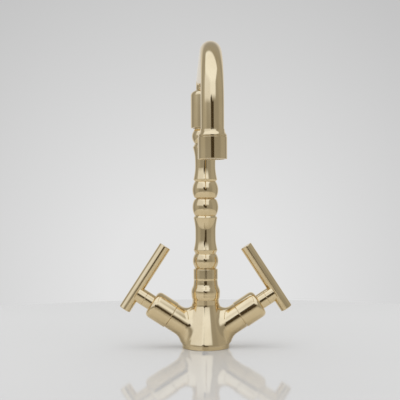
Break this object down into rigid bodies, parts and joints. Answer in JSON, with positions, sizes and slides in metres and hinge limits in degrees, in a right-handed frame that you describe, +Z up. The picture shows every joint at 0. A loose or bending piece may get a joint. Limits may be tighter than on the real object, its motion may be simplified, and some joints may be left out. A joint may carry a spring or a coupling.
{
  "type": "single-hole kitchen faucet",
  "caption": "Tall deck-mounted kitchen faucet with a turned, beaded column, a level swivel spout with an aerator, and quarter-turn T-bar handles on raised side arms.",
  "frame": {"origin": "centre of the foot's flat underside, on the deck", "axes": "+Z up the column, -Y the way the spout points at rest, -X the hot side and +X the cold side"},
  "size_m": [0.1816, 0.2419, 0.2927],
  "materials": {
    "polished_brass": "polished",
    "plain_brass": "machined",
    "steel": "plain",
    "rubber": "matte",
    "acetal": "moulded",
    "ceramic": "lapped"
  },
  "bodies": {
    "deck_body": {"base_body": "polished_brass", "base_seal": "rubber", "lower_column": "polished_brass", "upper_column": "polished_brass", "column_seals": "rubber", "spout_nut": "polished_brass", "lower_glide_ring": "acetal", "hot_cartridge_body": "plain_brass", "hot_seat_seal": "rubber", "hot_fixed_disc": "ceramic", "hot_cartridge_seal": "rubber", "hot_bonnet": "polished_brass", "cold_cartridge_body": "plain_brass", "cold_seat_seal": "rubber", "cold_fixed_disc": "ceramic", "cold_cartridge_seal": "rubber", "cold_bonnet": "polished_brass"},
    "spout": {"upper_glide_ring": "acetal", "spout_spigot": "plain_brass", "spigot_seals": "rubber", "spout_elbow": "polished_brass", "spout_tube": "polished_brass", "spout_ferrule": "polished_brass", "aerator_housing": "polished_brass", "aerator_washer": "rubber", "aerator_insert": "acetal", "aerator_screens": "steel"},
    "hot_handle": {"hot_moving_disc": "ceramic", "hot_spindle": "plain_brass", "hot_spindle_seals": "rubber", "hot_circlip": "steel", "hot_handle_hub": "polished_brass", "hot_saddle_ring": "polished_brass", "hot_handle_bar": "polished_brass", "hot_bar_screw": "steel", "hot_grub_screw": "steel"},
    "cold_handle": {"cold_moving_disc": "ceramic", "cold_spindle": "plain_brass", "cold_spindle_seals": "rubber", "cold_circlip": "steel", "cold_handle_hub": "polished_brass", "cold_saddle_ring": "polished_brass", "cold_handle_bar": "polished_brass", "cold_bar_screw": "steel", "cold_grub_screw": "steel"}
  },
  "joints": [
    {"name": "spout_swivel", "type": "hinge", "parent": "deck_body", "child": "spout", "pos_m": [0, 0, 0.25], "axis": [0, 0, 1], "continuous": true},
    {"name": "hot_turn", "type": "hinge", "parent": "deck_body", "child": "hot_handle", "pos_m": [0, 0, 0.01], "axis": [0.8387, 0, -0.5446], "range_deg": [0, 90]},
    {"name": "cold_turn", "type": "hinge", "parent": "deck_body", "child": "cold_handle", "pos_m": [0, 0, 0.01], "axis": [0.8387, 0, 0.5446], "range_deg": [0, 90]}
  ]
}
